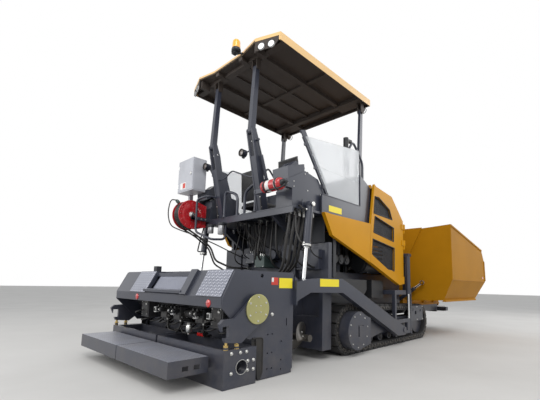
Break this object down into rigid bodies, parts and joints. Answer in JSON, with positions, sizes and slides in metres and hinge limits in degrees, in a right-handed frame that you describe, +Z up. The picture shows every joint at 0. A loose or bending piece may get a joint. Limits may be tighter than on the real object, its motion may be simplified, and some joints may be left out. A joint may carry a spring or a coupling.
{
  "type": "asphalt paver",
  "caption": "Tracked road paver with an open folding-wing hopper, hood, operators' stand with canopy, and a towed extending screed.",
  "frame": {"origin": "on the ground under the middle of the machine's box, tracks standing on z = 0", "axes": "+X forward toward the hopper, +Y to the machine's left, +Z up"},
  "size_m": [7.069, 3.328, 4.069],
  "materials": {
    "charcoal_paint": "satin blue-grey machine paint",
    "amber_paint": "semi-gloss orange-yellow paint",
    "roof_paint": "cream-yellow paint",
    "black_paint": "matt black paint",
    "grey_paint": "light grey paint",
    "red_paint": "gloss red paint",
    "steel": "worn bare steel",
    "chrome": "polished rod",
    "track_rubber": "dusty black track pads",
    "hose_rubber": "black hose rubber",
    "seat_vinyl": "black vinyl",
    "screen_plastic": "milky clear sheet",
    "lamp_plastic": "amber lamp dome",
    "lens_plastic": "white lamp lenses"
  },
  "bodies": {
    "chassis": {"main_frame": "charcoal_paint", "engine_block": "black_paint", "track_right": "track_rubber", "track_left": "track_rubber", "track_frames": "charcoal_paint", "rear_case": "charcoal_paint", "side_tanks": "charcoal_paint", "hood_top": "amber_paint", "hood_rear_panels": "amber_paint", "platform": "charcoal_paint", "screen_frames": "charcoal_paint", "consoles": "charcoal_paint", "cabinet": "grey_paint", "hose_reel": "red_paint", "extinguisher": "red_paint", "exhaust": "black_paint", "windscreens": "screen_plastic", "handrails": "charcoal_paint", "canopy_supports": "charcoal_paint", "conveyor": "steel", "auger_case": "charcoal_paint", "hopper_floor": "amber_paint", "tow_guides": "charcoal_paint", "hoses": "hose_rubber"},
    "hood_door_right": {"hood_door_right": "amber_paint", "grilles_right": "black_paint"},
    "hood_door_left": {"hood_door_left": "amber_paint", "grilles_left": "black_paint"},
    "seat_right": {"seat_right": "seat_vinyl"},
    "seat_left": {"seat_left": "seat_vinyl"},
    "rear_posts": {"rear_posts": "charcoal_paint"},
    "front_posts": {"front_posts": "charcoal_paint"},
    "canopy": {"canopy_roof": "roof_paint", "canopy_frame": "black_paint", "roof_lamps": "lens_plastic", "beacon": "lamp_plastic"},
    "auger_right": {"auger_right": "steel"},
    "auger_left": {"auger_left": "steel"},
    "hopper_wing_right": {"hopper_wing_right": "amber_paint"},
    "hopper_wing_left": {"hopper_wing_left": "amber_paint"},
    "wing_barrel_right": {"wing_barrel_right": "charcoal_paint"},
    "wing_barrel_left": {"wing_barrel_left": "charcoal_paint"},
    "wing_rod_right": {"wing_rod_right": "chrome"},
    "wing_rod_left": {"wing_rod_left": "chrome"},
    "push_beam": {"push_beam": "charcoal_paint"},
    "push_roller_right": {"push_roller_right": "steel"},
    "push_roller_left": {"push_roller_left": "steel"},
    "tow_blocks": {"tow_blocks": "charcoal_paint"},
    "lift_barrels": {"lift_barrels": "charcoal_paint"},
    "lift_rods": {"lift_rods": "chrome"},
    "screed": {"tow_arms": "charcoal_paint", "screed_frame": "charcoal_paint", "screed_deck": "charcoal_paint", "screed_gear": "black_paint"},
    "extension_right": {"extension_right": "charcoal_paint"},
    "extension_left": {"extension_left": "charcoal_paint"}
  },
  "joints": [
    {"name": "hood_door_right_hinge", "type": "hinge", "parent": "chassis", "child": "hood_door_right", "pos_m": [0.6895, -1.114, 1.6], "axis": [0, 0, 1], "range_deg": [0, 90]},
    {"name": "hood_door_left_hinge", "type": "hinge", "parent": "chassis", "child": "hood_door_left", "pos_m": [0.6895, 1.114, 1.6], "axis": [0, 0, -1], "range_deg": [0, 90]},
    {"name": "seat_right_turn", "type": "hinge", "parent": "chassis", "child": "seat_right", "pos_m": [-1.2855, -0.43, 1.9], "axis": [0, 0, 1], "range_deg": [-15, 15]},
    {"name": "seat_left_turn", "type": "hinge", "parent": "chassis", "child": "seat_left", "pos_m": [-1.2855, 0.43, 1.9], "axis": [0, 0, 1], "range_deg": [-15, 15]},
    {"name": "canopy_fold", "type": "hinge", "parent": "chassis", "child": "rear_posts", "pos_m": [-2.2405, 0, 2.89], "axis": [0, -1, 0], "range_deg": [0, 75]},
    {"name": "canopy_level", "type": "hinge", "parent": "rear_posts", "child": "canopy", "pos_m": [-2.1955, 0, 3.8], "axis": [0, 1, 0], "range_deg": [0, 75]},
    {"name": "front_posts_fold", "type": "hinge", "parent": "chassis", "child": "front_posts", "pos_m": [-0.3755, 0, 2.855], "axis": [0, -1, 0], "range_deg": [0, 75]},
    {"name": "auger_right_spin", "type": "hinge", "parent": "chassis", "child": "auger_right", "pos_m": [-1.8155, -0.5, 0.3], "axis": [0, 1, 0], "continuous": true},
    {"name": "auger_left_spin", "type": "hinge", "parent": "chassis", "child": "auger_left", "pos_m": [-1.8155, 0.5, 0.3], "axis": [0, 1, 0], "continuous": true},
    {"name": "hopper_wing_right_hinge", "type": "hinge", "parent": "chassis", "child": "hopper_wing_right", "pos_m": [2.4345, -0.75, 0.65], "axis": [-1, 0, 0], "range_deg": [0, 45]},
    {"name": "hopper_wing_left_hinge", "type": "hinge", "parent": "chassis", "child": "hopper_wing_left", "pos_m": [2.4345, 0.75, 0.65], "axis": [1, 0, 0], "range_deg": [0, 45]},
    {"name": "wing_barrel_right_pin", "type": "hinge", "parent": "chassis", "child": "wing_barrel_right", "pos_m": [1.3345, -0.6, 0.62], "axis": [1, 0, 0], "range_deg": [-37.06, 0]},
    {"name": "wing_rod_right_slide", "type": "slide", "parent": "wing_barrel_right", "child": "wing_rod_right", "axis": [0, -0.8227, 0.5684], "range_m": [-0.0793, 0]},
    {"name": "wing_barrel_left_pin", "type": "hinge", "parent": "chassis", "child": "wing_barrel_left", "pos_m": [1.3345, 0.6, 0.62], "axis": [-1, 0, 0], "range_deg": [-37.06, 0]},
    {"name": "wing_rod_left_slide", "type": "slide", "parent": "wing_barrel_left", "child": "wing_rod_left", "axis": [0, 0.8227, 0.5684], "range_m": [-0.0793, 0]},
    {"name": "push_beam_swing", "type": "hinge", "parent": "chassis", "child": "push_beam", "pos_m": [3.2645, 0, 0.44], "axis": [0, 0, 1], "range_deg": [-4, 4]},
    {"name": "push_roller_right_spin", "type": "hinge", "parent": "push_beam", "child": "push_roller_right", "pos_m": [3.4195, -0.5, 0.44], "axis": [0, 1, 0], "continuous": true},
    {"name": "push_roller_left_spin", "type": "hinge", "parent": "push_beam", "child": "push_roller_left", "pos_m": [3.4195, 0.5, 0.44], "axis": [0, 1, 0], "continuous": true},
    {"name": "tow_point_slide", "type": "slide", "parent": "chassis", "child": "tow_blocks", "axis": [0, 0, 1], "range_m": [0, 0.15]},
    {"name": "screed_lift", "type": "hinge", "parent": "tow_blocks", "child": "screed", "pos_m": [0.3645, 0, 0.24], "axis": [0, 1, 0], "range_deg": [0, 6]},
    {"name": "lift_barrel_pin", "type": "hinge", "parent": "chassis", "child": "lift_barrels", "pos_m": [-1.8355, 0, 1.89], "axis": [0, 1, 0], "range_deg": [-5.21, 0]},
    {"name": "lift_rod_slide", "type": "slide", "parent": "lift_barrels", "child": "lift_rods", "axis": [-0.0953, 0, -0.9954], "range_m": [-0.2408, 0]},
    {"name": "extension_right_slide", "type": "slide", "parent": "screed", "child": "extension_right", "axis": [0, -1, 0], "range_m": [0, 0.9]},
    {"name": "extension_left_slide", "type": "slide", "parent": "screed", "child": "extension_left", "axis": [0, 1, 0], "range_m": [0, 0.9]}
  ],
  "couplings": [
    {"joint": "canopy_level", "follows": "canopy_fold", "ratio": 1},
    {"joint": "front_posts_fold", "follows": "canopy_fold", "ratio": 1},
    {"joint": "wing_barrel_right_pin", "follows": "hopper_wing_right_hinge", "ratio": -0.82344},
    {"joint": "wing_rod_right_slide", "follows": "hopper_wing_right_hinge", "m_per_rad": -0.09971},
    {"joint": "wing_barrel_left_pin", "follows": "hopper_wing_left_hinge", "ratio": -0.82344},
    {"joint": "wing_rod_left_slide", "follows": "hopper_wing_left_hinge", "m_per_rad": -0.09971},
    {"joint": "lift_barrel_pin", "follows": "screed_lift", "ratio": -0.8676},
    {"joint": "lift_rod_slide", "follows": "screed_lift", "m_per_rad": -2.2896}
  ]
}
